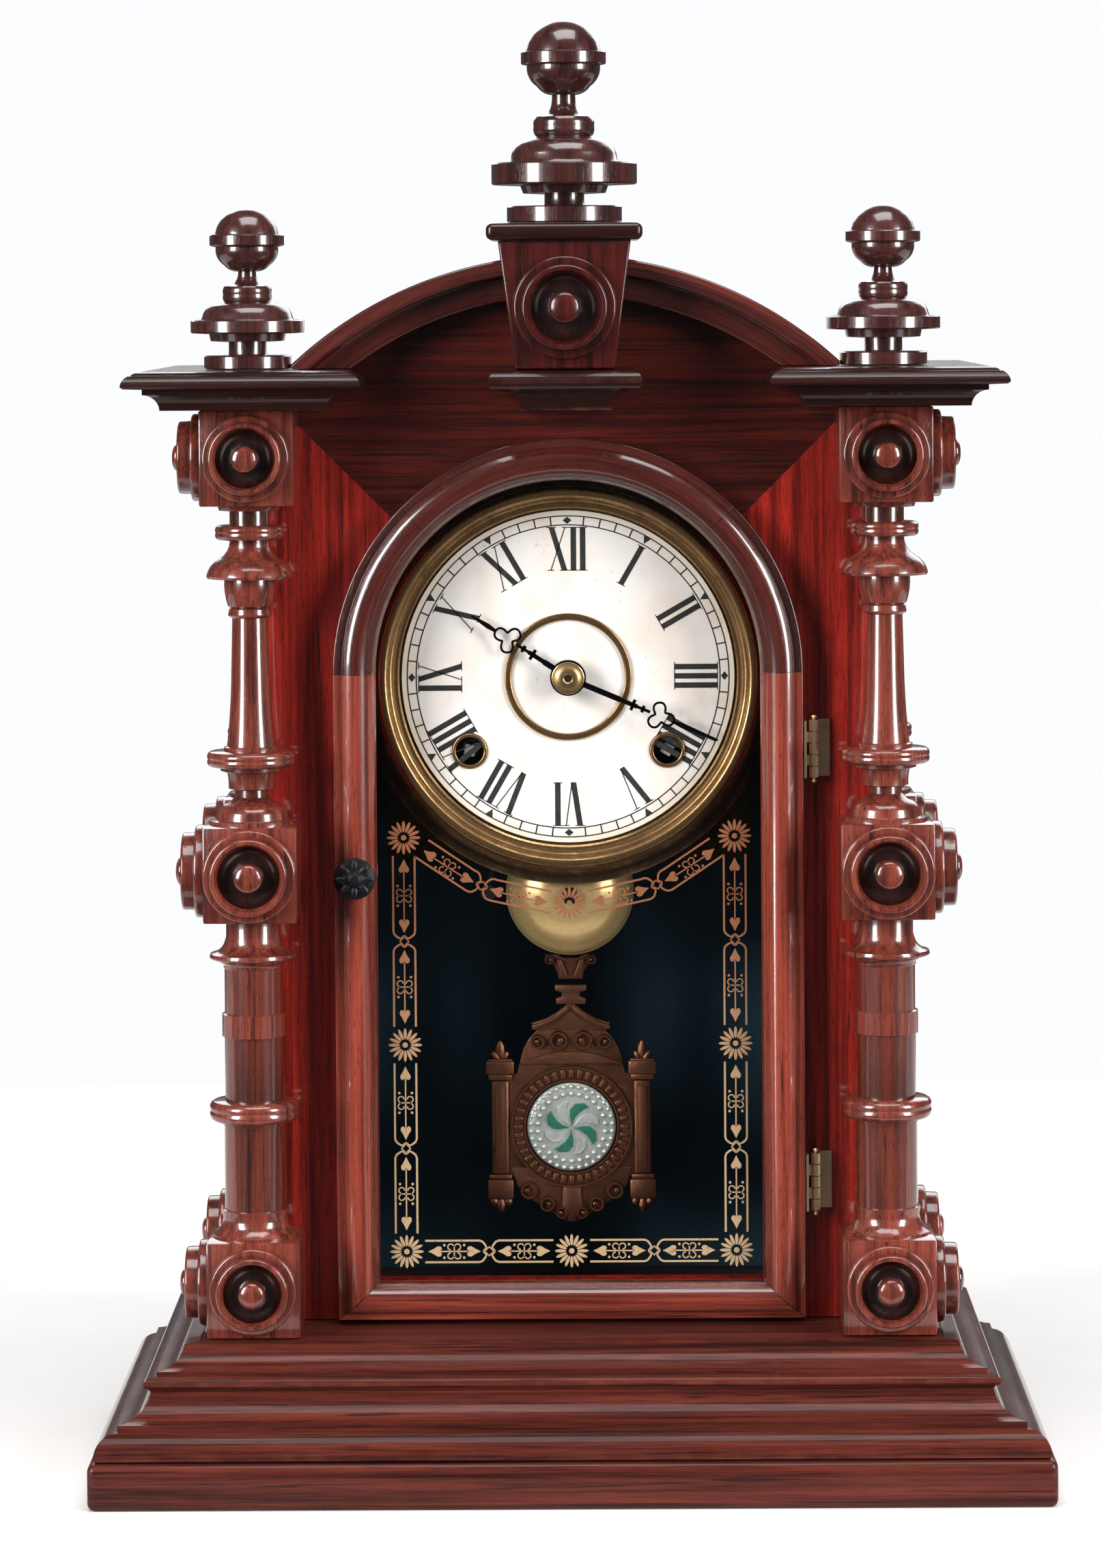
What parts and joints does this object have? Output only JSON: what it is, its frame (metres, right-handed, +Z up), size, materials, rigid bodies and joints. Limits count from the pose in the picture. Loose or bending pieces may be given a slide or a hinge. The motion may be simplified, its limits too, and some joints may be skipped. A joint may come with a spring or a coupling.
{
  "type": "mantel clock",
  "caption": "Spring-driven mantel clock with turned columns and finials, arched top, glazed door on hinges, paper dial, bell and pendulum.",
  "frame": {"origin": "on the floor, under the middle of the base", "axes": "+Z up, +X to the right seen from the dial side, +Y from the dial to the back"},
  "size_m": [0.311, 0.16, 0.478],
  "materials": {
    "rosewood": "varnished",
    "rosewood_dark": "varnished",
    "pine": "matte",
    "brass": "aged",
    "cast_bronze": "aged",
    "steel": "satin",
    "black_iron": "satin",
    "paper": "matte",
    "glass": "gloss",
    "cut_glass": "gloss"
  },
  "bodies": {
    "case": {"base_board": "rosewood", "base_moulding_front": "rosewood", "base_moulding_left": "rosewood", "base_moulding_right": "rosewood", "case_side_left": "rosewood", "case_side_right": "rosewood", "case_roof": "rosewood", "front_panel": "rosewood", "arch_moulding": "rosewood", "keystone": "rosewood", "column_front_left": "rosewood", "column_rear_left": "rosewood", "column_front_right": "rosewood", "column_rear_right": "rosewood", "keystone_cap": "rosewood_dark", "keystone_bracket": "rosewood_dark", "cornice_left": "rosewood_dark", "cornice_right": "rosewood_dark", "finial_left": "rosewood_dark", "finial_right": "rosewood_dark", "finial_center": "rosewood_dark", "case_floor": "pine", "back_panel": "pine", "dial_paper": "paper", "bell_standard": "black_iron", "time_mainspring": "steel", "strike_mainspring": "steel", "upper_hinge_case_leaf": "brass", "upper_hinge_pin": "brass", "lower_hinge_case_leaf": "brass", "lower_hinge_pin": "brass", "dial_pan": "brass", "dial_bezel": "brass", "dial_ring": "brass", "front_plate": "brass", "back_plate": "brass", "bell": "brass"},
    "door": {"door_frame": "rosewood", "door_glass": "glass", "upper_hinge_door_leaf": "brass", "lower_hinge_door_leaf": "brass"},
    "door_catch": {"door_knob": "black_iron", "door_latch": "steel"},
    "minute_train": {"minute_hand": "black_iron", "hand_nut": "brass", "center_arbor": "brass"},
    "hour_train": {"hour_hand": "black_iron", "hour_wheel": "brass"},
    "minute_wheel_body": {"minute_wheel": "brass"},
    "time_great": {"time_great_wheel": "brass"},
    "third": {"third_wheel": "brass"},
    "escape": {"escape_wheel": "brass"},
    "pendulum": {"pendulum_rod": "steel", "pendulum_bob": "cast_bronze", "bob_glass": "cut_glass"},
    "verge_body": {"verge": "steel"},
    "time_winding": {"time_winding_arbor": "steel"},
    "strike_winding": {"strike_winding_arbor": "steel"},
    "strike_great": {"strike_great_wheel": "brass"},
    "hammer_body": {"hammer": "steel"}
  },
  "joints": [
    {"name": "door_swing", "type": "hinge", "parent": "case", "child": "door", "pos_m": [0.081, -0.019, 0.2], "axis": [0, 0, 1], "range_deg": [0, 90]},
    {"name": "knob_turn", "type": "hinge", "parent": "door", "child": "door_catch", "pos_m": [-0.0705, -0.03, 0.197], "axis": [0, 1, 0], "range_deg": [0, 90]},
    {"name": "minute_hand_turn", "type": "hinge", "parent": "case", "child": "minute_train", "pos_m": [0, 0, 0.261], "axis": [0, 1, 0], "continuous": true},
    {"name": "hour_hand_turn", "type": "hinge", "parent": "case", "child": "hour_train", "pos_m": [0, 0, 0.261], "axis": [0, 1, 0], "continuous": true},
    {"name": "minute_wheel_turn", "type": "hinge", "parent": "case", "child": "minute_wheel_body", "pos_m": [0, 0.03, 0.2754], "axis": [0, 1, 0], "continuous": true},
    {"name": "time_great_wheel_turn", "type": "hinge", "parent": "case", "child": "time_great", "pos_m": [0.033, 0.03, 0.2363], "axis": [0, 1, 0], "continuous": true},
    {"name": "third_wheel_turn", "type": "hinge", "parent": "case", "child": "third", "pos_m": [-0.009, 0.03, 0.2394], "axis": [0, 1, 0], "continuous": true},
    {"name": "escape_wheel_turn", "type": "hinge", "parent": "case", "child": "escape", "pos_m": [-0.006, 0.03, 0.221], "axis": [0, 1, 0], "continuous": true},
    {"name": "pendulum_swing", "type": "hinge", "parent": "case", "child": "pendulum", "pos_m": [0, 0.0227, 0.238], "axis": [0, 1, 0], "range_deg": [-5, 5]},
    {"name": "verge_rock", "type": "hinge", "parent": "case", "child": "verge_body", "pos_m": [0, 0.0275, 0.238], "axis": [0, 1, 0], "range_deg": [-5, 5]},
    {"name": "time_winding_turn", "type": "hinge", "parent": "case", "child": "time_winding", "pos_m": [0.033, 0.03, 0.2363], "axis": [0, 1, 0], "continuous": true},
    {"name": "strike_winding_turn", "type": "hinge", "parent": "case", "child": "strike_winding", "pos_m": [-0.033, 0.03, 0.2363], "axis": [0, 1, 0], "continuous": true},
    {"name": "strike_great_wheel_turn", "type": "hinge", "parent": "case", "child": "strike_great", "pos_m": [-0.033, 0.03, 0.2363], "axis": [0, 1, 0], "continuous": true},
    {"name": "hammer_lift", "type": "hinge", "parent": "case", "child": "hammer_body", "pos_m": [-0.024, 0.03, 0.206], "axis": [0, 1, 0], "range_deg": [0, 20]}
  ],
  "couplings": [
    {"joint": "hour_hand_turn", "follows": "minute_hand_turn", "ratio": 0.083333},
    {"joint": "minute_wheel_turn", "follows": "minute_hand_turn", "ratio": -0.33333},
    {"joint": "time_great_wheel_turn", "follows": "minute_hand_turn", "ratio": -0.083333},
    {"joint": "third_wheel_turn", "follows": "minute_hand_turn", "ratio": -12},
    {"joint": "escape_wheel_turn", "follows": "minute_hand_turn", "ratio": 120},
    {"joint": "verge_rock", "follows": "pendulum_swing", "ratio": 1}
  ]
}
